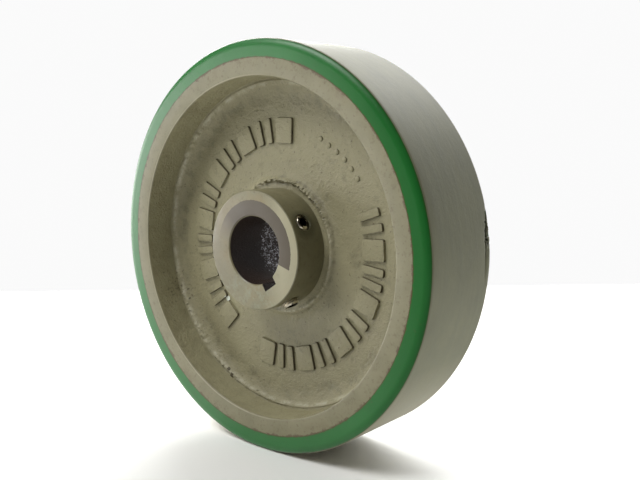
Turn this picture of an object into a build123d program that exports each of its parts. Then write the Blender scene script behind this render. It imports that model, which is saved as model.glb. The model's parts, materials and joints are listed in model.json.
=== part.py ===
from build123d import *
import math
import os

# Drive wheel: a one-piece grey-iron core with a moulded polyurethane tread, bored and keyed
# for a shaft, with two set screws. The wheel's axis lies along Y, +Z is up, and the origin is
# the middle of the bore. The front (-Y) is the side with the set screws and the cast pads.
# All lengths are in millimetres and all angles in degrees from +X towards +Z.

INCH = 25.4

# Tread and bond
WHEEL_DIAMETER = 12 * INCH
WHEEL_WIDTH = 3 * INCH
TREAD_SHOULDER_RADIUS = 3.8
CORE_DIAMETER = 277.8
BOND_THICKNESS = 0.2

# Rim of the core: its inner wall is turned down to a ledge, where the cast skin begins
RIM_WALL_RADIUS = 125.8
RIM_EDGE_BREAK = 0.5
RIM_WALL_DEPTH = 24.4
TOOL_NOSE_RADIUS = 1.6
CAST_FOOT_RADIUS = 19.7
CAST_FOOT_ANGLE = 43

# Web
WEB_THICKNESS = 15.8

# Hub
HUB_DIAMETER = 3.5 * INCH
HUB_LENGTH = 3.125 * INCH
HUB_CHAMFER = 0.8
COLLAR_RADIUS = 49.0
COLLAR_HEIGHT = 4.8
COLLAR_VALLEY_RADIUS = 51.0
COLLAR_VALLEY_HEIGHT = 2.0
COLLAR_FOOT_RADIUS = 59.7

# Bore and keyway: a half-inch key, half of its height in the hub
BORE_DIAMETER = 2 * INCH
BORE_CHAMFER = 0.8
KEY_WIDTH = 0.5 * INCH
KEYWAY_FLOOR_RADIUS = 1.223 * INCH
KEYWAY_ANGLE = -57

# Set screws: half-inch coarse thread, hexagon socket, cup point. One stands over the keyway and
# the other a quarter turn round, which on this wheel was drilled 3 degrees short.
SCREW_MAJOR_RADIUS = 6.33
SCREW_LENGTH = 0.625 * INCH
SCREW_SOCKET_FLATS = 0.25 * INCH
SCREW_SOCKET_DEPTH = 6.4
SCREW_END_CHAMFER = 0.8
SCREW_CUP_RADIUS = 3.9
SCREW_CUP_DEPTH = 2.0
TAPPED_HOLE_RADIUS = 6.38
TAPPED_HOLE_COUNTERSINK = 0.7
SCREW_SETBACK = 12.4
SIDE_SCREW_ANGLE = 30
KEY_SCREW_HEAD_RADIUS = 48.0
SIDE_SCREW_HEAD_RADIUS = 44.2

# Raised cast pads on the front of the web, in two arcs, and a row of small round pips
PAD_INNER_RADIUS = 77.5
PAD_OUTER_RADIUS = 97.0
PAD_HEIGHT = 2.0
PAD_CORNER_RADIUS = 1.2
WIDE_PAD = 16.0
NARROW_PAD = 6.2
PAIR_SPREAD = 9.0
PAD_ARCS = ((80, 232, 11), (-108, 22, 10))
PIP_CIRCLE_RADIUS = 89.6
PIP_RADIUS = 2.0
PIP_HEIGHT = 1.0
PIP_COUNT = 6
PIP_FIRST_ANGLE = 36
PIP_LAST_ANGLE = 64

# Sizes that follow from the ones above
TREAD_RADIUS = WHEEL_DIAMETER / 2
CORE_RADIUS = CORE_DIAMETER / 2
BORE_RADIUS = BORE_DIAMETER / 2
HUB_RADIUS = HUB_DIAMETER / 2
HALF_WIDTH = WHEEL_WIDTH / 2
HALF_HUB = HUB_LENGTH / 2
HALF_WEB = WEB_THICKNESS / 2
SCREW_Y = SCREW_SETBACK - HALF_HUB


def radial(angle, y=0.0):
    """Place a shape whose +Z is to point outwards from the wheel's axis at this angle."""
    return Pos(0, y, 0) * Rot(0, 90 - angle, 0)


def core_half_outline():
    """The section of the core on its back half, from the bore round to the rim's outside."""
    foot_start = RIM_WALL_RADIUS - 2.4 - CAST_FOOT_RADIUS * math.sin(math.radians(CAST_FOOT_ANGLE))
    foot_rise = CAST_FOOT_RADIUS * (1 - math.cos(math.radians(CAST_FOOT_ANGLE)))
    ledge = HALF_WIDTH - RIM_WALL_DEPTH
    crest = (RIM_WALL_RADIUS - 2.4, HALF_WEB + foot_rise)
    with BuildLine() as outline:
        Polyline(
            (BORE_RADIUS, 0),
            (BORE_RADIUS, HALF_HUB - BORE_CHAMFER),
            (BORE_RADIUS + BORE_CHAMFER, HALF_HUB),
            (HUB_RADIUS - HUB_CHAMFER, HALF_HUB),
            (HUB_RADIUS, HALF_HUB - HUB_CHAMFER),
            (HUB_RADIUS, HALF_WEB + COLLAR_HEIGHT),
            (COLLAR_RADIUS, HALF_WEB + COLLAR_HEIGHT),
            (COLLAR_VALLEY_RADIUS, HALF_WEB + COLLAR_VALLEY_HEIGHT),
        )
        TangentArc(
            (COLLAR_FOOT_RADIUS, HALF_WEB),
            (COLLAR_VALLEY_RADIUS, HALF_WEB + COLLAR_VALLEY_HEIGHT),
            tangent=(1, 0),
            tangent_from_first=False,
        )
        Line((COLLAR_FOOT_RADIUS, HALF_WEB), (foot_start, HALF_WEB))
        TangentArc((foot_start, HALF_WEB), crest, tangent=(1, 0))
        Line(crest, (RIM_WALL_RADIUS - TOOL_NOSE_RADIUS, ledge - TOOL_NOSE_RADIUS))
        TangentArc(
            (RIM_WALL_RADIUS - TOOL_NOSE_RADIUS, ledge - TOOL_NOSE_RADIUS),
            (RIM_WALL_RADIUS, ledge),
            tangent=(1, 0),
        )
        Polyline(
            (RIM_WALL_RADIUS, ledge),
            (RIM_WALL_RADIUS, HALF_WIDTH - RIM_EDGE_BREAK),
            (RIM_WALL_RADIUS + RIM_EDGE_BREAK, HALF_WIDTH),
            (CORE_RADIUS, HALF_WIDTH),
            (CORE_RADIUS, 0),
        )
        Line((CORE_RADIUS, 0), (BORE_RADIUS, 0))
    return outline.line


def core_casting():
    """The turned and cast body of revolution: hub, web and rim in one piece of iron."""
    with BuildSketch(Plane.XY) as section:
        make_face(core_half_outline())
        mirror(section.sketch, about=Plane.XZ)
    return revolve(section.sketch, Axis.Y)


def cast_pad(angle, width):
    """One raised pad with its middle at this angle, standing on the front of the web."""
    length = PAD_OUTER_RADIUS - PAD_INNER_RADIUS
    pad = Box(width, 2 * PAD_HEIGHT, length)
    pad = fillet(pad.edges().filter_by(Axis.Y), PAD_CORNER_RADIUS)
    middle = (PAD_INNER_RADIUS + PAD_OUTER_RADIUS) / 2
    return radial(angle, -HALF_WEB) * Pos(0, 0, middle) * pad


def cast_pads():
    """Wide pads and pairs of narrow pads by turns, evenly spaced along each arc."""
    pads = []
    for first, last, count in PAD_ARCS:
        for index in range(count):
            angle = first + (last - first) * (index + 0.5) / count
            if index % 2 == 0:
                pads.append(cast_pad(angle, WIDE_PAD))
                continue
            half_spread = math.degrees(PAIR_SPREAD / 2 / PAD_INNER_RADIUS)
            pads.append(cast_pad(angle - half_spread, NARROW_PAD))
            pads.append(cast_pad(angle + half_spread, NARROW_PAD))
    return pads


def cast_pips():
    """The row of small round pips beside the pads."""
    pips = []
    for index in range(PIP_COUNT):
        step = (PIP_LAST_ANGLE - PIP_FIRST_ANGLE) / (PIP_COUNT - 1)
        pip = Rot(90, 0, 0) * Cylinder(PIP_RADIUS, 2 * PIP_HEIGHT)
        place = radial(PIP_FIRST_ANGLE + step * index, -HALF_WEB)
        pips.append(place * Pos(0, 0, PIP_CIRCLE_RADIUS) * pip)
    return pips


def keyway_cut():
    """The square-bottomed slot along the whole bore."""
    slot = Box(KEY_WIDTH, HUB_LENGTH + 2, KEYWAY_FLOOR_RADIUS - BORE_RADIUS / 2)
    middle = (KEYWAY_FLOOR_RADIUS + BORE_RADIUS / 2) / 2
    return radial(KEYWAY_ANGLE) * Pos(0, 0, middle) * slot


def tapped_hole(angle):
    """A set-screw hole from the bore out through the hub, with a small countersink."""
    reach = HUB_RADIUS + 1
    hole = Pos(0, 0, reach / 2) * Cylinder(TAPPED_HOLE_RADIUS, reach)
    mouth_height = 2 * TAPPED_HOLE_COUNTERSINK
    mouth = Cone(
        TAPPED_HOLE_RADIUS - TAPPED_HOLE_COUNTERSINK,
        TAPPED_HOLE_RADIUS + TAPPED_HOLE_COUNTERSINK,
        mouth_height,
    )
    return radial(angle, SCREW_Y) * (hole + Pos(0, 0, HUB_RADIUS - 0.5) * mouth)


def wheel_core():
    """The finished core: the casting with its pads, bored, keyed and tapped."""
    core = core_casting()
    for raised in cast_pads() + cast_pips():
        core += raised
    core -= keyway_cut()
    core -= tapped_hole(KEYWAY_ANGLE)
    core -= tapped_hole(SIDE_SCREW_ANGLE)
    return core


def bond_coat():
    """The thin coat of bonding agent between the iron rim and the tread."""
    outside = Cylinder(CORE_RADIUS + BOND_THICKNESS, WHEEL_WIDTH)
    inside = Cylinder(CORE_RADIUS, WHEEL_WIDTH + 2)
    return Rot(90, 0, 0) * (outside - inside)


def tread():
    """The polyurethane tyre: a plain band with rounded shoulders."""
    band = Cylinder(TREAD_RADIUS, WHEEL_WIDTH)
    band = fillet(band.edges().filter_by(GeomType.CIRCLE), TREAD_SHOULDER_RADIUS)
    inside = Cylinder(CORE_RADIUS + BOND_THICKNESS, WHEEL_WIDTH + 2)
    return Rot(90, 0, 0) * (band - inside)


def set_screw(angle, head_radius):
    """A socket set screw pointing at the axis, its outer end at this distance from it."""
    body = Cylinder(SCREW_MAJOR_RADIUS, SCREW_LENGTH)
    outer_edge = body.edges().filter_by(GeomType.CIRCLE).sort_by(Axis.Z)[-1]
    body = chamfer(outer_edge, SCREW_END_CHAMFER)
    point_edge = body.edges().filter_by(GeomType.CIRCLE).sort_by(Axis.Z)[0]
    body = chamfer(point_edge, SCREW_MAJOR_RADIUS - SCREW_CUP_RADIUS - 0.2)
    socket = extrude(
        RegularPolygon(SCREW_SOCKET_FLATS / 2, 6, major_radius=False),
        SCREW_SOCKET_DEPTH,
    )
    body -= Pos(0, 0, SCREW_LENGTH / 2 - SCREW_SOCKET_DEPTH) * socket
    cup = Cone(SCREW_CUP_RADIUS, 0.5, SCREW_CUP_DEPTH)
    body -= Pos(0, 0, (SCREW_CUP_DEPTH - SCREW_LENGTH) / 2) * cup
    return radial(angle, SCREW_Y) * Pos(0, 0, head_radius - SCREW_LENGTH / 2) * body


PARTS = {
    "wheel_core": wheel_core(),
    "bond_coat": bond_coat(),
    "tread": tread(),
    "key_set_screw": set_screw(KEYWAY_ANGLE, KEY_SCREW_HEAD_RADIUS),
    "side_set_screw": set_screw(SIDE_SCREW_ANGLE, SIDE_SCREW_HEAD_RADIUS),
}

os.makedirs("parts", exist_ok=True)
for name, shape in PARTS.items():
    export_step(shape, f"parts/{name}.step")
    print(name, round(shape.volume), "mm3")
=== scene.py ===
import json
import math
import random

import bmesh
import bpy
from mathutils import Matrix, Vector, noise


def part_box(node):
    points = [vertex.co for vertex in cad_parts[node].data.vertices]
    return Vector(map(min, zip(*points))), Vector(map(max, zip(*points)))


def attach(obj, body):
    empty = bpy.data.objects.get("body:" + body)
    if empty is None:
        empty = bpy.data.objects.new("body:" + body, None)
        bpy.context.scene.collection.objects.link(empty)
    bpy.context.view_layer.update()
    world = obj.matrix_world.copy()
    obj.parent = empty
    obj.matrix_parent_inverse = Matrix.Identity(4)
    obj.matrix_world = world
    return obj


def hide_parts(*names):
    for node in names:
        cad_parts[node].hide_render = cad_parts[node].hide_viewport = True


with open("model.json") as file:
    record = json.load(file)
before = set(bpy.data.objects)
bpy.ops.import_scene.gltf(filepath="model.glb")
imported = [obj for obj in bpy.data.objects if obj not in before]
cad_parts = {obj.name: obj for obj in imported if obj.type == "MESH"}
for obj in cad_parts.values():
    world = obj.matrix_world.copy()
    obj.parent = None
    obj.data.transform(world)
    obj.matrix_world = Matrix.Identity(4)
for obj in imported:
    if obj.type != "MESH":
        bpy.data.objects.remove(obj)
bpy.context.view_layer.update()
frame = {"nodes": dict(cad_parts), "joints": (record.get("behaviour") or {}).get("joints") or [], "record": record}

# Wheel core: one grey-iron casting of rim, web and hub. The web and its two fillets keep the
# rough skin of the sand mould. The rim, the hub and the bore are turned, and the whole core was
# then sprayed with one coat of grey-beige enamel, which missed the bore.
MM = 0.001
HALF_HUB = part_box("wheel_core")[1].y / MM
CORE_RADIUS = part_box("wheel_core")[1].x / MM
HALF_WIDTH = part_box("tread")[1].y / MM
BORE_RADIUS = frame["record"]["mounts"][0]["dims"]["r_mm"]
BORE_CHAMFER = 0.8
HUB_RADIUS = 44.45
HUB_EDGE = 0.8
COLLAR_TOP = ((HUB_RADIUS, 11.7), (45.0, 11.6), (46.0, 11.4), (47.2, 11.25), (48.3, 11.2),
              (49.1, 11.25), (49.7, 11.35))
COLLAR_CREST = (50.4, 11.4)
COLLAR_DROP = ((51.0, 11.2), (51.7, 10.7))
COLLAR_VALLEY = (52.6, 9.9)
COLLAR_FOOT_RADIUS = 59.7
HALF_WEB = 7.9
WEB_STEP = 3.5
FOOT_START = 110.0
FOOT_FILLET = 19.7
FOOT_FILLET_END = 311
FOOT_CREST = (123.8, 13.2)
FOOT_RIDGE_RADIUS = 122.2
TOOL_GROOVE = ((124.5, 12.6), (125.3, 12.9), (125.7, 13.4))
RIM_WALL_RADIUS = 125.8
RIM_WALL_FOOT = 13.8
RIM_EDGE = 1.3
CORE_STEPS = 560
CHIP_PLACE = Vector((-62.8, -9.0, -48.7))
PIT_CLUSTER = Vector((-116.5, -18.0, -47.0))
BLOWHOLE_WIDTH = 1.5
BLOWHOLES = ((-55.0, -110.9, 2.2), (-58.9, -106.9, 1.2), (-109.5, -46.5, 0.9), (-107.4, -53.8, 1.2),
             (-66.4, -98.5, 0.6), (59.2, 12.6, 0.9), (65.4, -9.2, 0.6))
BAR_FRONT = HALF_WEB + 2.0
BAR_SINK = 1.7
BAR_LENGTH = 19.5
BAR_RADIUS = 87.25
BAR_CORNER = 1.4
BAR_SOFT_EDGE = 0.45
BAR_ARCS = ((80, 232, 11), (-108, 22, 10))
PAIR_HALF_SPREAD = 3.3
WIDE_BAR = 16.0
NARROW_BAR = 6.2
PIP_RADIUS = 89.6
PIP_START = 36
PIP_STEP = 5.6
KEY_WIDTH = 12.7
KEYWAY_FLOOR = 31.06
JOINT_AXES = {j["child"]: Vector(j["axis"]) for j in frame["joints"]}
SCREW_Y = (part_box("key_set_screw")[0].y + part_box("key_set_screw")[1].y) / 2 / MM
HOLE_RADIUS = (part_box("key_set_screw")[1].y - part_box("key_set_screw")[0].y) / 2 / MM + 0.05


def hex_colour(code):
    """An sRGB hex code as the linear colour that a shader socket takes."""
    parts = [int(code[i:i + 2], 16) / 255 for i in (0, 2, 4)]
    linear = [p / 12.92 if p <= 0.04045 else ((p + 0.055) / 1.055) ** 2.4 for p in parts]
    return (*linear, 1.0)


def add_node(tree, kind, sockets=None, **settings):
    """Add a node with its settings; each socket takes a value or another node's output."""
    node = tree.nodes.new(kind)
    for name, value in settings.items():
        setattr(node, name, value)
    for key, value in (sockets or {}).items():
        if isinstance(value, bpy.types.NodeSocket):
            tree.links.new(value, node.inputs[key])
        else:
            node.inputs[key].default_value = value
    return node


def arc(centre, radius, start, end, steps):
    """Points round a centre from one angle to another, in degrees."""
    angles = [math.radians(start + (end - start) * i / steps) for i in range(steps + 1)]
    return [(centre[0] + radius * math.cos(a), centre[1] + radius * math.sin(a)) for a in angles]


def spin_outline(outline, steps, closed=True, axis="Y"):
    """An outline of (radius, place along the axis) in mm, spun about the axis into a solid."""
    bm = bmesh.new()
    points = [(r, a, 0) if axis == "Y" else (r, 0, a) for r, a in outline]
    verts = [bm.verts.new([value * MM for value in point]) for point in points]
    ends = verts[1:] + (verts[:1] if closed else [])
    edges = [bm.edges.new(pair) for pair in zip(verts, ends)]
    spin_axis = (0, 1, 0) if axis == "Y" else (0, 0, 1)
    bmesh.ops.spin(bm, geom=verts + edges, cent=(0, 0, 0), axis=spin_axis, dvec=(0, 0, 0),
                   angle=math.tau, steps=steps, use_merge=True)
    bmesh.ops.remove_doubles(bm, verts=bm.verts, dist=0.002 * MM)
    bmesh.ops.recalc_face_normals(bm, faces=bm.faces)
    return bm


def make_piece(bm, name):
    """The finished bmesh as an object at the origin, its place in its mesh."""
    mesh = bpy.data.meshes.new(name)
    bm.to_mesh(mesh)
    bm.free()
    piece = bpy.data.objects.new(name, mesh)
    bpy.context.scene.collection.objects.link(piece)
    return piece


def combine(piece, tool, operation):
    """Cut the tool's shape out of the piece, or join it on."""
    other = make_piece(tool, "tool")
    change = piece.modifiers.new("change", "BOOLEAN")
    change.object = other
    change.operation = operation
    change.solver = "EXACT"
    depsgraph = bpy.context.evaluated_depsgraph_get()
    mesh = bpy.data.meshes.new_from_object(piece.evaluated_get(depsgraph))
    piece.modifiers.remove(change)
    piece.data = mesh
    bpy.data.objects.remove(other)


def shade(piece, materials, slot_of=None, smooth_angle=35):
    """Smooth shading with hard corners kept, and each face's material by where it is."""
    mesh = piece.data
    for material in materials:
        mesh.materials.append(material)
    for face in mesh.polygons:
        face.use_smooth = True
        if slot_of:
            face.material_index = slot_of(face.center / MM, face.normal)
    mesh.set_sharp_from_angle(angle=math.radians(smooth_angle))


def radial_place(axis, y):
    """Turns local +Z to point outwards along a radius of the wheel, at this y in mm."""
    turn = Matrix.Rotation(math.pi / 2 - math.atan2(axis[2], axis[0]), 4, "Y")
    return Matrix.Translation((0, y * MM, 0)) @ turn


def core_outline():
    """The core's section: its front half from bore to rim, and the same half mirrored."""
    valley_rise = COLLAR_VALLEY[1] - HALF_WEB
    reach = COLLAR_FOOT_RADIUS - COLLAR_VALLEY[0]
    fillet = (reach ** 2 + valley_rise ** 2) / (2 * valley_rise)
    fillet_turn = math.degrees(math.asin(reach / fillet))
    web_steps = round((FOOT_START - COLLAR_FOOT_RADIUS) / WEB_STEP)
    web_step = (FOOT_START - COLLAR_FOOT_RADIUS) / web_steps
    half = [(BORE_RADIUS, HALF_HUB - BORE_CHAMFER), (BORE_RADIUS + BORE_CHAMFER, HALF_HUB)]
    half += arc((HUB_RADIUS - HUB_EDGE, HALF_HUB - HUB_EDGE), HUB_EDGE, 90, 0, 3)
    half += [*COLLAR_TOP, COLLAR_CREST, *COLLAR_DROP]
    half += arc((COLLAR_FOOT_RADIUS, HALF_WEB + fillet), fillet, 270 - fillet_turn, 270, 7)
    half += [(COLLAR_FOOT_RADIUS + web_step * i, HALF_WEB) for i in range(1, web_steps)]
    half += arc((FOOT_START, HALF_WEB + FOOT_FILLET), FOOT_FILLET, 270, FOOT_FILLET_END, 12)
    half += [FOOT_CREST, *TOOL_GROOVE, (RIM_WALL_RADIUS, RIM_WALL_FOOT)]
    half += arc((RIM_WALL_RADIUS + RIM_EDGE, HALF_WIDTH - RIM_EDGE), RIM_EDGE, 180, 90, 4)
    half += [(CORE_RADIUS, HALF_WIDTH)]
    return half + [(r, -y) for r, y in reversed(half)]


def hill(distance, width):
    """A smooth hill of height 1 where the distance is nothing."""
    return math.exp(-(distance / width) ** 2)


def roughen_cast_skin(bm):
    """Slight waves over the web, torn ridges where the machining stopped, and a few blowholes."""
    for vert in bm.verts:
        radius = math.hypot(vert.co.x, vert.co.z) / MM
        if not HUB_RADIUS + 0.3 < radius < RIM_WALL_RADIUS - 0.3 or abs(vert.co.y) > 15 * MM:
            continue
        angle = math.degrees(math.atan2(vert.co.z, vert.co.x))
        coarse = noise.fractal(vert.co / (9 * MM), 1.0, 2.0, 3)
        fine = noise.fractal(vert.co / (3.4 * MM), 0.8, 2.0, 3)
        torn = noise.fractal(vert.co / (1.7 * MM), 0.8, 2.0, 2)
        waves = noise.noise(vert.co / (45 * MM))
        # The rim's foot is torn most at the lower left and left, the collar at the upper right.
        lower_left = hill((angle + 60) % 360 - 285, 45)
        left = hill((angle + 360) % 360 - 150, 50)
        rough_foot = 0.15 + 0.85 * max(lower_left, 0.65 * left)
        rough_collar = 0.15 + 0.85 * hill(angle - 62, 44)
        lift = 0.12 * waves + 0.10 * coarse + 0.05 * fine
        lift += hill(radius - 117, 4.5) * (0.22 * fine + 0.2 * coarse)
        foot = rough_foot * (0.9 + 1.5 * fine + 0.6 * coarse + 1.2 * torn) - 0.45 * (1 - rough_foot)
        lift += hill(radius - FOOT_RIDGE_RADIUS, 2.1) * foot
        lift += hill(radius - COLLAR_CREST[0], 1.5) * rough_collar * (1.6 + 1.3 * fine + 2.6 * torn)
        lift += 0.8 * (1 - rough_foot) * hill(radius - 124.6, 0.9)
        if vert.co.y < 0:
            for x, z, deep in BLOWHOLES:
                lift -= deep * hill(math.hypot(vert.co.x / MM - x, vert.co.z / MM - z), BLOWHOLE_WIDTH)
        vert.co.y += math.copysign(lift * MM, vert.co.y)


def raised_bar(width):
    """One raised bar of the casting: round corners, a little draft and a soft front edge."""
    bm = bmesh.new()
    bmesh.ops.create_cube(bm, size=MM, matrix=Matrix.Diagonal((width, 2 * BAR_SINK, BAR_LENGTH, 1)))
    upright = [e for e in bm.edges if abs(e.verts[0].co.y - e.verts[1].co.y) > MM]
    bmesh.ops.bevel(bm, geom=upright, offset=BAR_CORNER * MM, offset_type="OFFSET", segments=3,
                    profile=0.5, affect="EDGES", material=-1)
    front = [v for v in bm.verts if v.co.y < 0]
    bmesh.ops.scale(bm, vec=(1 - 0.5 / width, 1, 0.965), verts=front)
    rim = [e for e in bm.edges if all(v.co.y < 0 for v in e.verts)]
    bmesh.ops.bevel(bm, geom=rim, offset=BAR_SOFT_EDGE * MM, offset_type="OFFSET", segments=2,
                    profile=0.5, affect="EDGES", material=-1)
    return bm


def raised_pip():
    """One small round pip of the casting, domed at the front."""
    return spin_outline([(0, 1.0), (2.1, 1.0), (1.95, -0.6), (1.5, -0.95), (0.8, -1.1), (0, -1.15)],
                        16, closed=False)


def raised_marks():
    """Wide bars and pairs of narrow bars by turns round the web, and the row of pips."""
    draws = random.Random(7)
    marks = bmesh.new()

    def add_mark(shape, angle, radius, y):
        direction = (math.cos(math.radians(angle)), 0, math.sin(math.radians(angle)))
        shift = Matrix.Translation((0, 0, (radius + draws.uniform(-0.4, 0.4)) * MM))
        turn = Matrix.Rotation(math.radians(draws.uniform(-1.2, 1.2)), 4, "Y")
        bmesh.ops.transform(shape, matrix=radial_place(direction, y) @ shift @ turn, verts=shape.verts)
        mesh = bpy.data.meshes.new("mark")
        shape.to_mesh(mesh)
        shape.free()
        marks.from_mesh(mesh)
        bpy.data.meshes.remove(mesh)

    for first, last, count in BAR_ARCS:
        for index in range(count):
            middle = first + (last - first) * (index + 0.5) / count
            if index % 2 == 0:
                add_mark(raised_bar(WIDE_BAR), middle, BAR_RADIUS, BAR_SINK - BAR_FRONT)
                continue
            for side in (-1, 1):
                angle = middle + side * PAIR_HALF_SPREAD
                add_mark(raised_bar(NARROW_BAR), angle, BAR_RADIUS, BAR_SINK - BAR_FRONT)
    for index in range(6):
        add_mark(raised_pip(), PIP_START + PIP_STEP * index, PIP_RADIUS, -HALF_WEB)
    return marks


def tapped_hole_cutter(axis):
    """The shape of a set-screw hole with its countersink, from the bore out through the hub."""
    outline = [(0, 12), (HOLE_RADIUS, 12), (HOLE_RADIUS, HUB_RADIUS - 0.55),
               (HOLE_RADIUS + 0.75, HUB_RADIUS + 0.2), (HOLE_RADIUS + 0.75, HUB_RADIUS + 6),
               (0, HUB_RADIUS + 6)]
    bm = spin_outline(outline, 48, closed=False, axis="Z")
    bmesh.ops.transform(bm, matrix=radial_place(axis, SCREW_Y), verts=bm.verts)
    return bm


def keyway_cutter(axis):
    """The broached slot's shape: square-bottomed, right through the hub."""
    bm = bmesh.new()
    height = KEYWAY_FLOOR - BORE_RADIUS / 2
    shift = Matrix.Translation((0, 0, (KEYWAY_FLOOR - height / 2) * MM))
    size = Matrix.Diagonal((KEY_WIDTH, 2 * HALF_HUB + 4, height, 1))
    bmesh.ops.create_cube(bm, size=MM, matrix=radial_place(axis, 0) @ shift @ size)
    return bm


def core_face_slot(centre, normal):
    """0 cast skin, 1 turned and painted, 2 bored and broached iron, 3 mark sides and blowholes."""
    radius = math.hypot(centre.x, centre.z)
    if radius < BORE_RADIUS + 0.2 or radius < KEYWAY_FLOOR + 2 and abs(normal.y) < 0.3:
        return 2
    if radius < HUB_RADIUS - 1 and abs(normal.y) < 0.3:
        return 2
    if radius <= HUB_RADIUS + 0.1 or radius >= RIM_WALL_RADIUS + 0.05:
        return 1
    # Slot 3 darkens the blowholes and the raised marks' sides: painted shade, with dirt against the marks.
    if centre.y < 0 and any(math.hypot(centre.x - x, centre.z - z) < 0.9 * deep for x, z, deep in BLOWHOLES):
        return 3
    if centre.y < -HALF_WEB - 0.2 and 70 < radius < 105 and abs(normal.y) < 0.6:
        return 3
    return 0


def new_material(name):
    """An empty material: its node tree, its surface shader and the piece's own coordinates."""
    material = bpy.data.materials.new(name)
    material.use_nodes = True
    tree = material.node_tree
    shader = next(n for n in tree.nodes if n.type == "BSDF_PRINCIPLED")
    place = add_node(tree, "ShaderNodeTexCoord").outputs["Object"]
    return material, tree, shader, place


def wheel_radius(tree, place):
    """The distance from the wheel's axis, in metres."""
    flat = add_node(tree, "ShaderNodeVectorMath", {0: place, 1: (1, 0, 1)}, operation="MULTIPLY").outputs[0]
    return add_node(tree, "ShaderNodeVectorMath", {0: flat}, operation="LENGTH").outputs["Value"]


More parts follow.
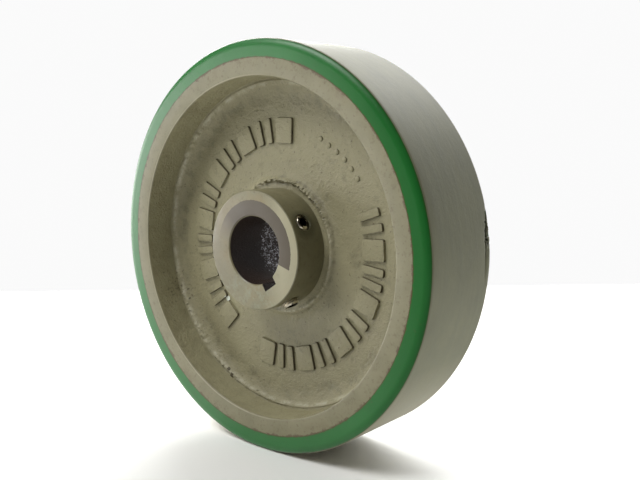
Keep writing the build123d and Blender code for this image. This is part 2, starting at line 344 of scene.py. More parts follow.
def enamel_on_cast_skin():
    """Grey-beige spray enamel on a sand casting: grainy, blotched with handling dirt and with rust
    showing through in specks. The torn ridges and the wall's foot are painted pale, a painted
    highlight, and the hollows beside them dark, painted shade. The sand's grain is 0.3 mm; its
    pattern starts at 2.2 mm, so that it shows."""
    material, tree, shader, place = new_material("grey_enamel_on_sand_casting")
    blotch = add_node(tree, "ShaderNodeTexNoise", {"Vector": place, "Scale": 1 / 0.030, "Detail": 5.0,
                                                   "Roughness": 0.62}).outputs[0]
    colour = add_node(tree, "ShaderNodeMix", {0: blotch, 6: hex_colour("7a7458"), 7: hex_colour("938e6f")},
                      data_type="RGBA").outputs[2]
    stain = add_node(tree, "ShaderNodeTexNoise", {"Vector": place, "Scale": 1 / 0.011, "Detail": 6.0,
                                                  "Roughness": 0.7}).outputs[0]
    stained = add_node(tree, "ShaderNodeMapRange", {0: stain, 1: 0.56, 2: 0.75, 4: 0.45}).outputs[0]
    colour = add_node(tree, "ShaderNodeMix", {0: stained, 6: colour, 7: hex_colour("4a4431")},
                      data_type="RGBA").outputs[2]
    speck = add_node(tree, "ShaderNodeTexNoise", {"Vector": place, "Scale": 1 / 0.0022, "Detail": 3.0,
                                                  "Roughness": 0.6}).outputs[0]
    # Rust pits are thickest round one place on the left of the web's foot.
    from_pits = add_node(tree, "ShaderNodeVectorMath", {0: place, 1: PIT_CLUSTER * MM},
                         operation="DISTANCE").outputs["Value"]
    pitted = add_node(tree, "ShaderNodeMapRange", {0: from_pits, 1: 0.026, 2: 0.004, 4: 0.11}).outputs[0]
    speck = add_node(tree, "ShaderNodeMath", {0: speck, 1: pitted}, operation="ADD").outputs[0]
    specked = add_node(tree, "ShaderNodeMapRange", {0: speck, 1: 0.63, 2: 0.73, 4: 0.65}).outputs[0]
    colour = add_node(tree, "ShaderNodeMix", {0: specked, 6: colour, 7: hex_colour("4a3a28")},
                      data_type="RGBA").outputs[2]
    # One white chip in the enamel, on the lower left of the web.
    from_chip = add_node(tree, "ShaderNodeVectorMath", {0: place, 1: CHIP_PLACE * MM},
                         operation="DISTANCE").outputs["Value"]
    chipped = add_node(tree, "ShaderNodeMapRange", {0: from_chip, 1: 0.0027, 2: 0.0021}).outputs[0]
    colour = add_node(tree, "ShaderNodeMix", {0: chipped, 6: colour, 7: hex_colour("dfe6d8")},
                      data_type="RGBA").outputs[2]
    radius = wheel_radius(tree, place)
    # Rings at a radius in mm, all painted light and shade: both ridges and the wall's foot painted
    # pale as highlights, the hollows beside them and the fillet at 113 mm painted dark as shade.
    for ring, spread, share, code in ((FOOT_RIDGE_RADIUS, 2.2, 0.7, "b9b49e"),
                                      (COLLAR_CREST[0], 1.6, 0.5, "c2bda8"),
                                      (113.0, 7.5, 0.5, "5a553f"), (48.2, 1.5, 0.35, "3d3726"),
                                      (52.7, 1.6, 0.45, "4b4533"), (RIM_WALL_RADIUS, 0.3, 0.5, "9d9878")):
        off = add_node(tree, "ShaderNodeMath", {0: radius, 1: ring * MM}, operation="SUBTRACT").outputs[0]
        off = add_node(tree, "ShaderNodeMath", {0: off}, operation="ABSOLUTE").outputs[0]
        near = add_node(tree, "ShaderNodeMapRange", {0: off, 1: spread * MM, 2: 0.0}).outputs[0]
        patchy = add_node(tree, "ShaderNodeMapRange", {0: stain, 1: 0.42, 2: 0.6, 4: share}).outputs[0]
        near = add_node(tree, "ShaderNodeMath", {0: near, 1: patchy}, operation="MULTIPLY").outputs[0]
        colour = add_node(tree, "ShaderNodeMix", {0: near, 6: colour, 7: hex_colour(code)},
                          data_type="RGBA").outputs[2]
    # The right of the rim's inner wall is painted darker: painted shade.
    on_wall = add_node(tree, "ShaderNodeMath", {0: radius, 1: 0.1254}, operation="GREATER_THAN").outputs[0]
    across = add_node(tree, "ShaderNodeSeparateXYZ", {0: place}).outputs[0]
    painted_shade_on_wall = add_node(tree, "ShaderNodeMapRange", {0: across, 1: 0.030, 2: 0.110, 4: 0.6}).outputs[0]
    painted_shade_on_wall = add_node(tree, "ShaderNodeMath", {0: painted_shade_on_wall, 1: on_wall}, operation="MULTIPLY").outputs[0]
    colour = add_node(tree, "ShaderNodeMix", {0: painted_shade_on_wall, 6: colour, 7: hex_colour("58533c")},
                      data_type="RGBA").outputs[2]
    tree.links.new(colour, shader.inputs["Base Color"])
    rough = add_node(tree, "ShaderNodeMapRange", {0: blotch, 1: 0.3, 2: 0.7, 3: 0.42, 4: 0.6}).outputs[0]
    tree.links.new(rough, shader.inputs["Roughness"])
    grain = add_node(tree, "ShaderNodeTexNoise", {"Vector": place, "Scale": 1 / 0.0022, "Detail": 4.0,
                                                  "Roughness": 0.65}).outputs[0]
    lumps = add_node(tree, "ShaderNodeTexNoise", {"Vector": place, "Scale": 1 / 0.008,
                                                  "Detail": 3.0}).outputs[0]
    low = add_node(tree, "ShaderNodeBump", {"Strength": 0.8, "Distance": 0.0009, "Height": lumps}).outputs[0]
    skin = add_node(tree, "ShaderNodeBump", {"Strength": 1.0, "Distance": 0.0009, "Height": grain,
                                             "Normal": low}).outputs[0]
    tree.links.new(skin, shader.inputs["Normal"])
    return material


def enamel_on_turned_iron():
    """The same enamel over lathe-turned faces: smoother, with faint rings. Rust creeps in beside the
    tread, the hub is rubbed low down, and its front face is bare in a crescent. Painted shade
    darkens the hub round the side screw's hole and on the right of its side; a painted highlight
    pales the right of its face and the edge of the rim's inner wall on the left. The real feed
    marks are 0.25 mm apart; they are drawn at 0.8 mm to show."""
    material, tree, shader, place = new_material("grey_enamel_on_turned_iron")
    radius = wheel_radius(tree, place)
    axes = add_node(tree, "ShaderNodeSeparateXYZ", {0: place}).outputs
    blotch = add_node(tree, "ShaderNodeTexNoise", {"Vector": place, "Scale": 1 / 0.022, "Detail": 5.0,
                                                   "Roughness": 0.6}).outputs[0]
    colour = add_node(tree, "ShaderNodeMix", {0: blotch, 6: hex_colour("635e43"), 7: hex_colour("878265")},
                      data_type="RGBA").outputs[2]
    stain = add_node(tree, "ShaderNodeTexNoise", {"Vector": place, "Scale": 1 / 0.006, "Detail": 6.0,
                                                  "Roughness": 0.72}).outputs[0]
    stained = add_node(tree, "ShaderNodeMapRange", {0: stain, 1: 0.57, 2: 0.72, 4: 0.55}).outputs[0]
    colour = add_node(tree, "ShaderNodeMix", {0: stained, 6: colour, 7: hex_colour("544630")},
                      data_type="RGBA").outputs[2]
    speck = add_node(tree, "ShaderNodeTexNoise", {"Vector": place, "Scale": 1 / 0.0026, "Detail": 3.0,
                                                  "Roughness": 0.65}).outputs[0]
    specked = add_node(tree, "ShaderNodeMapRange", {0: speck, 1: 0.58, 2: 0.72, 4: 0.5}).outputs[0]
    colour = add_node(tree, "ShaderNodeMix", {0: specked, 6: colour, 7: hex_colour("574a33")},
                      data_type="RGBA").outputs[2]
    # Rust creeping in beside the tread.
    wander = add_node(tree, "ShaderNodeTexNoise", {"Vector": place, "Scale": 1 / 0.009, "Detail": 5.0,
                                                   "Roughness": 0.7}).outputs[0]
    reach = add_node(tree, "ShaderNodeMath", {0: wander, 1: 0.010, 2: radius},
                     operation="MULTIPLY_ADD").outputs[0]
    rusty = add_node(tree, "ShaderNodeMapRange", {0: reach, 1: 0.1432, 2: 0.1442, 4: 0.75}).outputs[0]
    colour = add_node(tree, "ShaderNodeMix", {0: rusty, 6: colour, 7: hex_colour("4d3925")},
                      data_type="RGBA").outputs[2]
    # The hub: oily blotches, a darker left, a paler right that is a painted highlight, and painted
    # shade on the right of its side.
    low_down = add_node(tree, "ShaderNodeMapRange", {0: axes[2], 1: -0.018, 2: -0.034}).outputs[0]
    on_hub = add_node(tree, "ShaderNodeMath", {0: radius, 1: 0.0435}, operation="LESS_THAN").outputs[0]
    oily = add_node(tree, "ShaderNodeMapRange", {0: blotch, 1: 0.46, 2: 0.62, 4: 0.5}).outputs[0]
    oily = add_node(tree, "ShaderNodeMath", {0: oily, 1: on_hub}, operation="MULTIPLY").outputs[0]
    colour = add_node(tree, "ShaderNodeMix", {0: oily, 6: colour, 7: hex_colour("7a6a45")},
                      data_type="RGBA").outputs[2]
    # Painted highlight: the right of the hub is painted paler.
    for x_from, x_to, code in ((-0.010, -0.038, "61573a"), (0.010, 0.028, "a8a388")):
        one_side = add_node(tree, "ShaderNodeMapRange", {0: axes[0], 1: x_from, 2: x_to, 4: 0.6}).outputs[0]
        one_side = add_node(tree, "ShaderNodeMath", {0: one_side, 1: on_hub}, operation="MULTIPLY").outputs[0]
        colour = add_node(tree, "ShaderNodeMix", {0: one_side, 6: colour, 7: hex_colour(code)},
                          data_type="RGBA").outputs[2]
    near_hub = add_node(tree, "ShaderNodeMath", {0: radius, 1: 0.0460}, operation="LESS_THAN").outputs[0]
    round_hub = add_node(tree, "ShaderNodeMath", {0: near_hub, 1: on_hub}, operation="SUBTRACT").outputs[0]
    painted_shade_on_hub_side = add_node(tree, "ShaderNodeMapRange", {0: axes[0], 1: 0.020, 2: 0.040, 4: 0.45}).outputs[0]
    painted_shade_on_hub_side = add_node(tree, "ShaderNodeMath", {0: painted_shade_on_hub_side, 1: round_hub}, operation="MULTIPLY").outputs[0]
    colour = add_node(tree, "ShaderNodeMix", {0: painted_shade_on_hub_side, 6: colour, 7: hex_colour("3f3c26")},
                      data_type="RGBA").outputs[2]
    # A dark patch round the side screw's hole, a little below it: painted shade.
    hole = JOINT_AXES["side_screw"] * HUB_RADIUS + Vector((0, SCREW_Y, -2.0))
    from_hole = add_node(tree, "ShaderNodeVectorMath", {0: place, 1: hole * MM},
                         operation="DISTANCE").outputs["Value"]
    painted_shade_round_hole = add_node(tree, "ShaderNodeMapRange", {0: from_hole, 1: 0.0125, 2: 0.0075, 4: 0.6}).outputs[0]
    colour = add_node(tree, "ShaderNodeMix", {0: painted_shade_round_hole, 6: colour, 7: hex_colour("33351f")},
                      data_type="RGBA").outputs[2]
    # Paint rubbed thin low on the hub, and a pale line along the edge of the rim's inner wall on
    # the left: a painted highlight.
    rubbed = add_node(tree, "ShaderNodeMapRange", {0: stain, 1: 0.50, 2: 0.66, 4: 0.45}).outputs[0]
    rubbed = add_node(tree, "ShaderNodeMath", {0: rubbed, 1: low_down}, operation="MULTIPLY").outputs[0]
    rubbed = add_node(tree, "ShaderNodeMath", {0: rubbed, 1: on_hub}, operation="MULTIPLY").outputs[0]
    colour = add_node(tree, "ShaderNodeMix", {0: rubbed, 6: colour, 7: hex_colour("93a08c")},
                      data_type="RGBA").outputs[2]
    off_edge = add_node(tree, "ShaderNodeMath", {0: radius, 1: -0.1267}, operation="ADD").outputs[0]
    off_edge = add_node(tree, "ShaderNodeMath", {0: off_edge}, operation="ABSOLUTE").outputs[0]
    painted_edge_highlight = add_node(tree, "ShaderNodeMapRange", {0: off_edge, 1: 0.0006, 2: 0.0002}).outputs[0]
    on_left = add_node(tree, "ShaderNodeMapRange", {0: axes[0], 1: 0.030, 2: -0.020, 4: 0.4}).outputs[0]
    painted_edge_highlight = add_node(tree, "ShaderNodeMath", {0: painted_edge_highlight, 1: on_left},
                           operation="MULTIPLY").outputs[0]
    colour = add_node(tree, "ShaderNodeMix", {0: painted_edge_highlight, 6: colour, 7: hex_colour("b5b09a")},
                      data_type="RGBA").outputs[2]
    # Thin, brownish patches on the rim's face.
    on_rim = add_node(tree, "ShaderNodeMapRange", {0: radius, 1: 0.1290, 2: 0.1370}).outputs[0]
    flaked = add_node(tree, "ShaderNodeMapRange", {0: blotch, 1: 0.56, 2: 0.68, 4: 0.6}).outputs[0]
    flaked = add_node(tree, "ShaderNodeMath", {0: flaked, 1: on_rim}, operation="MULTIPLY").outputs[0]
    colour = add_node(tree, "ShaderNodeMix", {0: flaked, 6: colour, 7: hex_colour("63573c")},
                      data_type="RGBA").outputs[2]
    # The bare crescent on the hub's front face, from just below the right round over the top.
    angle = add_node(tree, "ShaderNodeMath", {0: axes[2], 1: axes[0]}, operation="ARCTAN2").outputs[0]
    past_start = add_node(tree, "ShaderNodeMapRange", {0: angle, 1: math.radians(-18.4),
                                                       2: math.radians(-17.6)}).outputs[0]
    before_end = add_node(tree, "ShaderNodeMapRange", {0: angle, 1: math.radians(172),
                                                       2: math.radians(135)}).outputs[0]
    wavy = add_node(tree, "ShaderNodeMath", {0: stain, 1: 0.0016, 2: 0.0362},
                    operation="MULTIPLY_ADD").outputs[0]
    inside = add_node(tree, "ShaderNodeMath", {0: radius, 1: wavy}, operation="LESS_THAN").outputs[0]
    front = add_node(tree, "ShaderNodeMath", {0: axes[1], 1: -0.0393}, operation="LESS_THAN").outputs[0]
    bare = add_node(tree, "ShaderNodeMath", {0: past_start, 1: before_end}, operation="MULTIPLY").outputs[0]
    bare = add_node(tree, "ShaderNodeMath", {0: bare, 1: inside}, operation="MULTIPLY").outputs[0]
    bare = add_node(tree, "ShaderNodeMath", {0: bare, 1: front}, operation="MULTIPLY").outputs[0]
    colour = add_node(tree, "ShaderNodeMix", {0: bare, 6: colour, 7: hex_colour("483e2d")},
                      data_type="RGBA").outputs[2]
    tree.links.new(colour, shader.inputs["Base Color"])
    rough = add_node(tree, "ShaderNodeMapRange", {0: stain, 1: 0.3, 2: 0.7, 3: 0.36, 4: 0.52}).outputs[0]
    tree.links.new(rough, shader.inputs["Roughness"])
    across = add_node(tree, "ShaderNodeMath", {0: radius, 1: axes[1]}, operation="ADD").outputs[0]
    rings = add_node(tree, "ShaderNodeTexNoise", {"W": across, "Scale": 1 / 0.0008, "Detail": 2.0},
                     noise_dimensions="1D").outputs[0]
    turned = add_node(tree, "ShaderNodeBump", {"Strength": 0.25, "Distance": 0.0001,
                                               "Height": rings}).outputs[0]
    orange_peel = add_node(tree, "ShaderNodeBump", {"Strength": 0.4, "Distance": 0.0003, "Height": stain,
                                                    "Normal": turned}).outputs[0]
    tree.links.new(orange_peel, shader.inputs["Normal"])
    return material


def bored_iron():
    """Bare bored and broached grey iron under old dark oil, with bright specks. The specks are
    painted thicker towards the back: painted light, where light comes in through the back of the bore."""
    material, tree, shader, place = new_material("oiled_bored_iron")
    speck = add_node(tree, "ShaderNodeTexNoise", {"Vector": place, "Scale": 1 / 0.0019, "Detail": 5.0,
                                                  "Roughness": 0.7, "Distortion": 1.2}).outputs[0]
    depth = add_node(tree, "ShaderNodeSeparateXYZ", {0: place}).outputs[1]
    # Painted light: more bright specks towards the back of the bore.
    painted_light_at_back = add_node(tree, "ShaderNodeMapRange", {0: depth, 1: -0.013, 2: -0.003, 4: 0.16}).outputs[0]
    bright = add_node(tree, "ShaderNodeMath", {0: speck, 1: painted_light_at_back}, operation="ADD").outputs[0]
    bright = add_node(tree, "ShaderNodeMapRange", {0: bright, 1: 0.69, 2: 0.77}).outputs[0]
    colour = add_node(tree, "ShaderNodeMix", {0: bright, 6: hex_colour("24150b"), 7: hex_colour("a09da0")},
                      data_type="RGBA").outputs[2]
    tree.links.new(colour, shader.inputs["Base Color"])
    tree.links.new(bright, shader.inputs["Metallic"])
    shader.inputs["Specular IOR Level"].default_value = 0.25
    rough = add_node(tree, "ShaderNodeMapRange", {0: bright, 3: 0.6, 4: 0.36}).outputs[0]
    tree.links.new(rough, shader.inputs["Roughness"])
    pits = add_node(tree, "ShaderNodeBump", {"Strength": 0.9, "Distance": 0.0005, "Height": speck}).outputs[0]
    tree.links.new(pits, shader.inputs["Normal"])
    return material


def grime_and_painted_shade_in_corners():
    """Enamel darkened in the blowholes and on the raised marks' sides: dirt packed against the marks, and painted
    shade in the blowholes and on the marks' sides.
    """
    material, tree, shader, place = new_material("grime_and_painted_shade_on_enamel")
    patch = add_node(tree, "ShaderNodeTexNoise", {"Vector": place, "Scale": 1 / 0.004, "Detail": 5.0,
                                                  "Roughness": 0.7}).outputs[0]
    colour = add_node(tree, "ShaderNodeMix", {0: patch, 6: hex_colour("2b2519"), 7: hex_colour("6a624a")},
                      data_type="RGBA").outputs[2]
    tree.links.new(colour, shader.inputs["Base Color"])
    shader.inputs["Roughness"].default_value = 0.7
    grit = add_node(tree, "ShaderNodeBump", {"Strength": 0.6, "Distance": 0.0003, "Height": patch}).outputs[0]
    tree.links.new(grit, shader.inputs["Normal"])
    return material


casting = spin_outline(core_outline(), CORE_STEPS)
roughen_cast_skin(casting)
core = make_piece(casting, "core")
combine(core, raised_marks(), "UNION")
combine(core, keyway_cutter(JOINT_AXES["key_screw"]), "DIFFERENCE")
for body in ("key_screw", "side_screw"):
    combine(core, tapped_hole_cutter(JOINT_AXES[body]), "DIFFERENCE")
core_finishes = (enamel_on_cast_skin(), enamel_on_turned_iron(), bored_iron(), grime_and_painted_shade_in_corners())
shade(core, core_finishes, core_face_slot)
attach(core, "wheel")
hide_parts("wheel_core")

# Bond coat: the film of bonding agent brushed on the rim before the tread was cast. It shows only
# as a thin reddish-brown line between the iron and the polyurethane.


def bonding_agent():
    """Dried solvent adhesive: dull red-brown, darker in patches."""
    material, tree, shader, place = new_material("dried_bonding_agent")
    patch = add_node(tree, "ShaderNodeTexNoise", {"Vector": place, "Scale": 1 / 0.009,
                                                  "Detail": 5.0}).outputs[0]
    colour = add_node(tree, "ShaderNodeMix", {0: patch, 6: hex_colour("2e2014"), 7: hex_colour("6d4a2c")},
                      data_type="RGBA").outputs[2]
    tree.links.new(colour, shader.inputs["Base Color"])
    shader.inputs["Roughness"].default_value = 0.75
    return material


bond = frame["nodes"]["bond_coat"]
bond.data.materials.clear()
bond.data.materials.append(bonding_agent())

# Tread: a green polyurethane tyre cast round the core and turned true. Its sides keep their
# colour. Its running face is worn matt, grey with floor dust, and the back edge has been cut.
TREAD_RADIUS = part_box("tread")[1].x / MM
TREAD_INSIDE = CORE_RADIUS + 0.2
SHOULDER = 3.8
SHOULDER_REACH = 6.2
TREAD_STEPS = 720
CUT_Y = 30.5
CUT_START = math.radians(-7)
CUT_END = math.radians(14)


def tread_outline():
    """The tyre's section, with round shoulders and rows of points where the cut runs."""
    side = HALF_WIDTH - SHOULDER
    shoulder = [(TREAD_RADIUS - SHOULDER_REACH * (1 - math.sin(turn)), side + SHOULDER * math.cos(turn))
                for turn in [math.radians(90 * i / 14) for i in range(15)]]
    outline = [(TREAD_INSIDE, -HALF_WIDTH)] + [(r, -y) for r, y in shoulder]
    outline += [(TREAD_RADIUS, y) for y in (-24, -12, 0, 12, 20, 26)]
    outline += [(TREAD_RADIUS, 28 + 0.75 * i) for i in range(8)]
    return outline + shoulder[::-1] + [(TREAD_INSIDE, HALF_WIDTH)]


def cut_the_back_edge(bm):
    """A slit along the running face near its back edge, and a torn patch beside it."""
    for vert in bm.verts:
        radius = math.hypot(vert.co.x, vert.co.z)
        angle = math.atan2(vert.co.z, vert.co.x)
        y = vert.co.y / MM
        if y < 26 or radius < 145 * MM or not CUT_START - 0.1 < angle < CUT_END + 0.1:
            continue
        along = min(1, max(0, (angle - CUT_START) / 0.12)) * min(1, max(0, (CUT_END - angle) / 0.05))
        wander = 3.6 * max(0, angle - math.radians(5)) / 0.1 + 0.5 * noise.noise(vert.co / (22 * MM))
        slit = hill(y - CUT_Y - wander, 0.55) * along
        torn = hill(math.degrees(angle) - 5.5, 4.0) * hill(y - CUT_Y - 2.2, 2.6)
        lip = hill(y - 34.5, 2.6) * hill(math.degrees(angle) - 1, 6)
        ragged = noise.fractal(vert.co / (1.8 * MM), 0.8, 2.0, 3)
        depth = max(-0.25, 1.8 * slit + torn * (1.0 + 2.4 * ragged) - 0.35 * lip)
        scale = (radius - depth * MM) / radius
        vert.co.x *= scale
        vert.co.z *= scale


def cast_polyurethane():
    """Green cast polyurethane: a satin, slightly soft-looking plastic. The running face has a
    grey film of dust and rubber, streaked round the wheel, and a dirty line where it begins. The
    right of the wheel is painted darker, painted shade, and is less glossy; low down the film is
    painted paler, painted light from the floor; inside the cut it is painted near black, painted shade."""
    material, tree, shader, place = new_material("green_cast_polyurethane")
    radius = wheel_radius(tree, place)
    axes = add_node(tree, "ShaderNodeSeparateXYZ", {0: place}).outputs
    angle = add_node(tree, "ShaderNodeMath", {0: axes[2], 1: axes[0]}, operation="ARCTAN2").outputs[0]
    cloud = add_node(tree, "ShaderNodeTexNoise", {"Vector": place, "Scale": 1 / 0.035, "Detail": 5.0,
                                                  "Roughness": 0.6}).outputs[0]
    green = add_node(tree, "ShaderNodeMix", {0: cloud, 6: hex_colour("1d5f29"), 7: hex_colour("246f2f")},
                     data_type="RGBA").outputs[2]
    smudge = add_node(tree, "ShaderNodeTexNoise", {"Vector": place, "Scale": 1 / 0.0045, "Detail": 6.0,
                                                   "Roughness": 0.7}).outputs[0]
    dirty = add_node(tree, "ShaderNodeMapRange", {0: smudge, 1: 0.6, 2: 0.78, 4: 0.5}).outputs[0]
    green = add_node(tree, "ShaderNodeMix", {0: dirty, 6: green, 7: hex_colour("4a4a30")},
                     data_type="RGBA").outputs[2]
    # Painted shade: the right of the wheel is painted a darker green.
    right_side = add_node(tree, "ShaderNodeVectorMath", {0: place, 1: (0.97, 0, 0.24)},
                          operation="DOT_PRODUCT").outputs["Value"]
    painted_shade_on_right = add_node(tree, "ShaderNodeMapRange", {0: right_side, 1: 0.070, 2: 0.135, 4: 0.5}).outputs[0]
    green = add_node(tree, "ShaderNodeMix", {0: painted_shade_on_right, 6: green, 7: hex_colour("0a4714")},
                     data_type="RGBA").outputs[2]
    # Brown stain beside the bond line.
    joint = add_node(tree, "ShaderNodeMapRange", {0: radius, 1: 0.1402, 2: 0.1392}).outputs[0]
    patchy = add_node(tree, "ShaderNodeMapRange", {0: smudge, 1: 0.38, 2: 0.6, 4: 0.9}).outputs[0]
    joint = add_node(tree, "ShaderNodeMath", {0: joint, 1: patchy}, operation="MULTIPLY").outputs[0]
    green = add_node(tree, "ShaderNodeMix", {0: joint, 6: green, 7: hex_colour("4d3a22")},
                     data_type="RGBA").outputs[2]
    # The film on the running face.
    turns = add_node(tree, "ShaderNodeCombineXYZ", {0: angle, 1: axes[1]}).outputs[0]
    streak_place = add_node(tree, "ShaderNodeVectorMath", {0: turns, 1: (3.0, 160.0, 0)},
                            operation="MULTIPLY").outputs[0]
    streak = add_node(tree, "ShaderNodeTexNoise", {"Vector": streak_place, "Scale": 1.0,
                                                   "Detail": 4.0}).outputs[0]
    film = add_node(tree, "ShaderNodeMix", {0: cloud, 6: hex_colour("666651"), 7: hex_colour("7d7d5f")},
                    data_type="RGBA").outputs[2]
    streaked = add_node(tree, "ShaderNodeMapRange", {0: streak, 1: 0.45, 2: 0.8, 4: 0.22}).outputs[0]
    film = add_node(tree, "ShaderNodeMix", {0: streaked, 6: film, 7: hex_colour("5a5b51")},
                    data_type="RGBA").outputs[2]
    # Painted light: low down the film is painted paler, as light from the floor.
    painted_light_low_down = add_node(tree, "ShaderNodeMapRange", {0: axes[2], 1: -0.070, 2: -0.115, 4: 0.65}).outputs[0]
    film = add_node(tree, "ShaderNodeMix", {0: painted_light_low_down, 6: film, 7: hex_colour("a39d86")},
                    data_type="RGBA").outputs[2]
    # The film starts at a slightly wavy line on the shoulder, or where the cut goes in.
    edge = add_node(tree, "ShaderNodeMath", {0: smudge, 1: 0.00035, 2: 0.00165},
                    operation="MULTIPLY_ADD").outputs[0]
    start = add_node(tree, "ShaderNodeMath", {0: edge, 1: 0.150}, operation="ADD").outputs[0]
    past = add_node(tree, "ShaderNodeMath", {0: radius, 1: start}, operation="SUBTRACT").outputs[0]
    off_centre = add_node(tree, "ShaderNodeMath", {0: axes[1]}, operation="ABSOLUTE").outputs[0]
    in_cut = add_node(tree, "ShaderNodeMath", {0: 0.0350, 1: off_centre}, operation="SUBTRACT").outputs[0]
    past = add_node(tree, "ShaderNodeMath", {0: past, 1: in_cut}, operation="MAXIMUM").outputs[0]
    worn = add_node(tree, "ShaderNodeMapRange", {0: past, 1: 0.0, 2: 0.00012}).outputs[0]
    line_width = add_node(tree, "ShaderNodeMath", {0: smudge, 1: 0.0016, 2: past},
                          operation="MULTIPLY_ADD").outputs[0]
    line = add_node(tree, "ShaderNodeMapRange", {0: line_width, 1: 0.0002, 2: 0.0008, 4: 0.45}).outputs[0]
    green = add_node(tree, "ShaderNodeMix", {0: line, 6: green, 7: hex_colour("39371f")},
                     data_type="RGBA").outputs[2]
    # Painted shade: the film is painted near black inside the cut, darker the deeper it goes.
    painted_shade_in_cut = add_node(tree, "ShaderNodeMapRange", {0: radius, 1: 0.1521, 2: 0.1513, 4: 0.9}).outputs[0]
    film = add_node(tree, "ShaderNodeMix", {0: painted_shade_in_cut, 6: film, 7: hex_colour("23221a")},
                    data_type="RGBA").outputs[2]
    colour = add_node(tree, "ShaderNodeMix", {0: worn, 6: green, 7: film}, data_type="RGBA").outputs[2]
    tree.links.new(colour, shader.inputs["Base Color"])
    rough = add_node(tree, "ShaderNodeMapRange", {0: worn, 3: 0.38, 4: 0.56}).outputs[0]
    tree.links.new(rough, shader.inputs["Roughness"])
    gloss = add_node(tree, "ShaderNodeMapRange", {0: right_side, 1: 0.060, 2: 0.135,
                                                  3: 0.48, 4: 0.14}).outputs[0]
    gloss = add_node(tree, "ShaderNodeMix", {0: worn, 2: gloss, 3: 0.45}).outputs[0]
    tree.links.new(gloss, shader.inputs["Specular IOR Level"])
    grain = add_node(tree, "ShaderNodeMath", {0: smudge, 1: streak}, operation="ADD").outputs[0]
    scuffs = add_node(tree, "ShaderNodeBump", {"Strength": 0.35, "Distance": 0.0004,
                                               "Height": grain}).outputs[0]
    tree.links.new(scuffs, shader.inputs["Normal"])
    return material


band = spin_outline(tread_outline(), TREAD_STEPS)
cut_the_back_edge(band)
tread = make_piece(band, "tyre")
shade(tread, (cast_polyurethane(),))
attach(tread, "wheel")
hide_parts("tread")

# Set screws: two half-inch alloy-steel socket screws with cup points, cold headed and rolled,
# blackened and worn bright. One presses on the key, the other on the shaft beside it.
SCREW_PITCH = 25.4 / 13
SCREW_MAJOR = HOLE_RADIUS - 0.05
SCREW_MINOR = SCREW_MAJOR - 1.15
SCREW_LENGTH = 15.875
SOCKET_FLATS = 6.35
SOCKET_DEPTH = 6.4
TURN_STEPS = 48


def threaded_rod():
    """A rolled thread: one pitch of its outline, swept round and up, cut square at both ends."""
    turns = math.ceil(SCREW_LENGTH / SCREW_PITCH) + 2
    bm = bmesh.new()
    pitch_outline = [(SCREW_MINOR, 0), (SCREW_MINOR, 0.18), (SCREW_MAJOR, 0.44), (SCREW_MAJOR, 0.56),
                     (SCREW_MINOR, 0.82), (SCREW_MINOR, 1)]
    start = -SCREW_LENGTH / 2 - 1.5 * SCREW_PITCH
    verts = [bm.verts.new((r * MM, 0, (start + share * SCREW_PITCH) * MM)) for r, share in pitch_outline]
    edges = [bm.edges.new(pair) for pair in zip(verts, verts[1:])]
    rise = SCREW_PITCH / TURN_STEPS * MM
    bmesh.ops.spin(bm, geom=verts + edges, cent=(0, 0, 0), axis=(0, 0, 1), dvec=(0, 0, rise),
                   angle=math.tau * turns, steps=TURN_STEPS * turns, use_merge=False)
    bmesh.ops.remove_doubles(bm, verts=bm.verts, dist=0.01 * MM)
    for end in (-1, 1):
        limit = (0, 0, end * SCREW_LENGTH / 2 * MM)
        bmesh.ops.bisect_plane(bm, geom=bm.verts[:] + bm.edges[:] + bm.faces[:], dist=0.0001 * MM,
                               plane_co=limit, plane_no=(0, 0, end), clear_outer=True)
    for vert in bm.verts:
        radius = math.hypot(vert.co.x, vert.co.y)
        chamfered = SCREW_MINOR * 0.97 * MM + SCREW_LENGTH / 2 * MM - abs(vert.co.z)
        if radius > chamfered:
            vert.co.x *= chamfered / radius
            vert.co.y *= chamfered / radius
    bmesh.ops.holes_fill(bm, edges=[e for e in bm.edges if e.is_boundary], sides=0)
    bmesh.ops.recalc_face_normals(bm, faces=bm.faces)
    return bm


def socket_cutter():
    """The hexagon socket."""
    bm = bmesh.new()
    across_corners = SOCKET_FLATS / math.cos(math.pi / 6)
    top = SCREW_LENGTH / 2
    bmesh.ops.create_cone(bm, cap_ends=True, segments=6, radius1=across_corners / 2 * MM,
                          radius2=across_corners / 2 * MM, depth=(SOCKET_DEPTH + 2) * MM,
                          matrix=Matrix.Translation((0, 0, (top + 1 - SOCKET_DEPTH / 2) * MM)))
    return bm


def cup_cutter():
    """The cone that leaves a sharp rim round the screw's point."""
    return spin_outline([(0, 2.0 - SCREW_LENGTH / 2), (0.6, 2.0 - SCREW_LENGTH / 2),
                         (3.9, -0.2 - SCREW_LENGTH / 2), (0, -0.2 - SCREW_LENGTH / 2)],
                        32, closed=False, axis="Z")


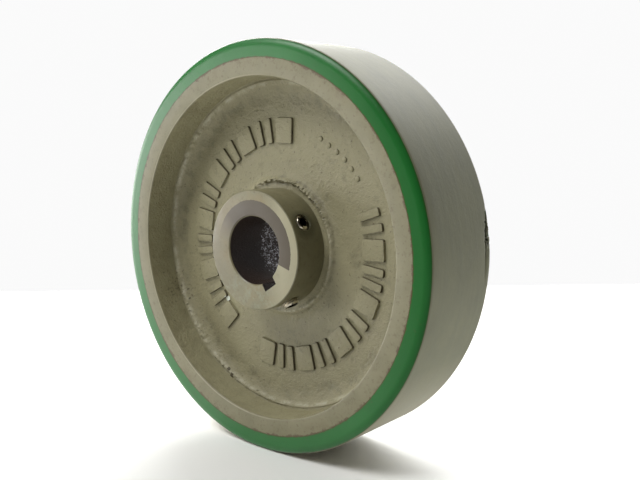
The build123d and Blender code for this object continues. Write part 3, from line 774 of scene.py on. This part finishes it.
def screw_steel(name, wear_from, wear_to):
    """Blackened alloy steel, worn to bright metal where the wear pattern is past its limits."""
    material, tree, shader, place = new_material(name)
    wear = add_node(tree, "ShaderNodeTexNoise", {"Vector": place, "Scale": 1 / 0.0022, "Detail": 4.0,
                                                 "Roughness": 0.7}).outputs[0]
    worn = add_node(tree, "ShaderNodeMapRange", {0: wear, 1: wear_from, 2: wear_to}).outputs[0]
    colour = add_node(tree, "ShaderNodeMix", {0: worn, 6: hex_colour("2c2822"), 7: hex_colour("ded6c4")},
                      data_type="RGBA").outputs[2]
    tree.links.new(colour, shader.inputs["Base Color"])
    shader.inputs["Metallic"].default_value = 1.0
    rough = add_node(tree, "ShaderNodeMapRange", {0: wear, 1: 0.3, 2: 0.7, 3: 0.45, 4: 0.25}).outputs[0]
    tree.links.new(rough, shader.inputs["Roughness"])
    marks = add_node(tree, "ShaderNodeBump", {"Strength": 0.4, "Distance": 0.0002, "Height": wear}).outputs[0]
    tree.links.new(marks, shader.inputs["Normal"])
    return material


def screw_face_slot(middle, direction):
    """Gives a screw's faces their slot: 0 outside, worn; 1 in the socket, still black."""
    def slot(centre, normal):
        along = (centre - middle).dot(direction)
        off = ((centre - middle) - direction * along).length
        return 1 if off < SOCKET_FLATS / 2 + 0.3 and abs(along) < SOCKET_DEPTH / 2 + 1.2 else 0
    return slot


screw_metals = (screw_steel("worn_black_oxide_steel", 0.30, 0.46),
                screw_steel("black_oxide_steel", 0.58, 0.8))
for node, body in (("key_set_screw", "key_screw"), ("side_set_screw", "side_screw")):
    direction = JOINT_AXES[body]
    head = max(direction.dot(v.co) for v in frame["nodes"][node].data.vertices) / MM
    screw = make_piece(threaded_rod(), node + "_threaded")
    combine(screw, socket_cutter(), "DIFFERENCE")
    combine(screw, cup_cutter(), "DIFFERENCE")
    place = radial_place(direction, SCREW_Y)
    screw.data.transform(place @ Matrix.Translation((0, 0, (head - SCREW_LENGTH / 2) * MM)))
    middle = direction * (head - SOCKET_DEPTH / 2) + Vector((0, SCREW_Y, 0))
    shade(screw, screw_metals, screw_face_slot(middle, direction), smooth_angle=30)
    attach(screw, body)
    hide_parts(node)

# Stage: a pale table top that ends behind the wheel, a white surround that glows on the left and
# back left, and three soft boxes: front left, back left and behind. The camera looks at the front
# from the right.
FLOOR_Z = -TREAD_RADIUS
CAMERA_AZIMUTH = math.radians(40.54)
CAMERA_ELEVATION = math.radians(7.61)
CAMERA_ROLL = math.radians(-0.7)
CAMERA_DISTANCE = 592.0
AIM_RIGHT = 48.0
AIM_UP = 6.9
LENS = 45.3
TABLE_EDGE = 1220.0
TABLE_HALF = 950.0

back = Vector((math.sin(CAMERA_AZIMUTH) * math.cos(CAMERA_ELEVATION),
               -math.cos(CAMERA_AZIMUTH) * math.cos(CAMERA_ELEVATION), math.sin(CAMERA_ELEVATION)))
right = Vector((math.cos(CAMERA_AZIMUTH), math.sin(CAMERA_AZIMUTH), 0))
up = back.cross(right)
aim = Vector((0, -HALF_WIDTH, 0)) + right * AIM_RIGHT + up * AIM_UP
camera_place = (aim + back * CAMERA_DISTANCE) * MM
rolled_right = right * math.cos(CAMERA_ROLL) + up * math.sin(CAMERA_ROLL)
rolled_up = back.cross(rolled_right)
lens = bpy.data.cameras.new("camera")
lens.lens = LENS
lens.sensor_width = 36.0
camera = bpy.data.objects.new("camera", lens)
turn = Matrix((rolled_right, rolled_up, back)).transposed().to_4x4()
camera.matrix_world = Matrix.Translation(camera_place) @ turn
bpy.context.scene.collection.objects.link(camera)
bpy.context.scene.camera = camera

table = bmesh.new()
bmesh.ops.create_grid(table, x_segments=1, y_segments=1, size=TABLE_HALF * MM)
away = Vector((-back.x, -back.y, 0)).normalized()
table_middle = Vector((camera_place.x, camera_place.y, 0)) + away * (TABLE_EDGE - TABLE_HALF) * MM
table_turn = Matrix.Rotation(math.atan2(away.y, away.x) - math.pi / 2, 4, "Z")
bmesh.ops.transform(table, matrix=Matrix.Translation((table_middle.x, table_middle.y, FLOOR_Z * MM))
                    @ table_turn, verts=table.verts)
floor = make_piece(table, "table_top")


def matt_white_board():
    """A matt white board: nearly even, with the faintest cloudiness."""
    material, tree, shader, place = new_material("matt_white_board")
    cloud = add_node(tree, "ShaderNodeTexNoise", {"Vector": place, "Scale": 4.0}).outputs[0]
    colour = add_node(tree, "ShaderNodeMix", {0: cloud, 6: hex_colour("f2f2ee"), 7: hex_colour("f6f6f3")},
                      data_type="RGBA").outputs[2]
    tree.links.new(colour, shader.inputs["Base Color"])
    shader.inputs["Roughness"].default_value = 0.8
    return material


shade(floor, (matt_white_board(),))

world = bpy.data.worlds.new("white_surround")
bpy.context.scene.world = world
world.use_nodes = True
sky = world.node_tree
direction = add_node(sky, "ShaderNodeTexCoord").outputs["Generated"]
flattened = add_node(sky, "ShaderNodeVectorMath", {0: direction, 1: (1, 1, 4)},
                     operation="MULTIPLY").outputs[0]
flattened = add_node(sky, "ShaderNodeVectorMath", {0: flattened}, operation="NORMALIZE").outputs[0]
glow = 0.05
for view, azimuth, low, high, strength in ((direction, 117, 0.45, 1.0, 4.6),
                                           (flattened, 200, 0.80, 0.93, 7.5)):
    towards = (math.cos(math.radians(azimuth)), math.sin(math.radians(azimuth)), 0)
    facing = add_node(sky, "ShaderNodeVectorMath", {0: view, 1: towards},
                      operation="DOT_PRODUCT").outputs["Value"]
    lobe = add_node(sky, "ShaderNodeMapRange", {0: facing, 1: low, 2: high, 4: strength},
                    interpolation_type="SMOOTHSTEP").outputs[0]
    glow = add_node(sky, "ShaderNodeMath", {0: lobe, 1: glow}, operation="ADD").outputs[0]
seen = add_node(sky, "ShaderNodeLightPath").outputs["Is Camera Ray"]
glow = add_node(sky, "ShaderNodeMix", {0: seen, 2: glow, 3: 0.96}).outputs[0]
white = next(n for n in sky.nodes if n.type == "BACKGROUND")
white.inputs["Color"].default_value = (1, 1, 1, 1)
sky.links.new(glow, white.inputs["Strength"])


def soft_light(name, size, power, azimuth, elevation, distance):
    """A square soft box aimed at the wheel; its size and distance are in metres."""
    lamp = bpy.data.lights.new(name, "AREA")
    lamp.shape = "SQUARE"
    lamp.size = size
    lamp.energy = power
    level = distance * math.cos(math.radians(elevation))
    place = Vector((level * math.cos(math.radians(azimuth)), level * math.sin(math.radians(azimuth)),
                    distance * math.sin(math.radians(elevation))))
    light = bpy.data.objects.new(name, lamp)
    light.location = place
    light.rotation_euler = place.to_track_quat("Z", "Y").to_euler()
    bpy.context.scene.collection.objects.link(light)


soft_light("soft_box_front", 0.7, 19.5, 246, 52, 1.5)
soft_light("soft_box_left", 0.7, 18, 143, 35, 1.5)
soft_light("soft_box_back", 0.9, 12, 85, 50, 1.7)

bpy.context.scene.view_settings.view_transform = "Standard"
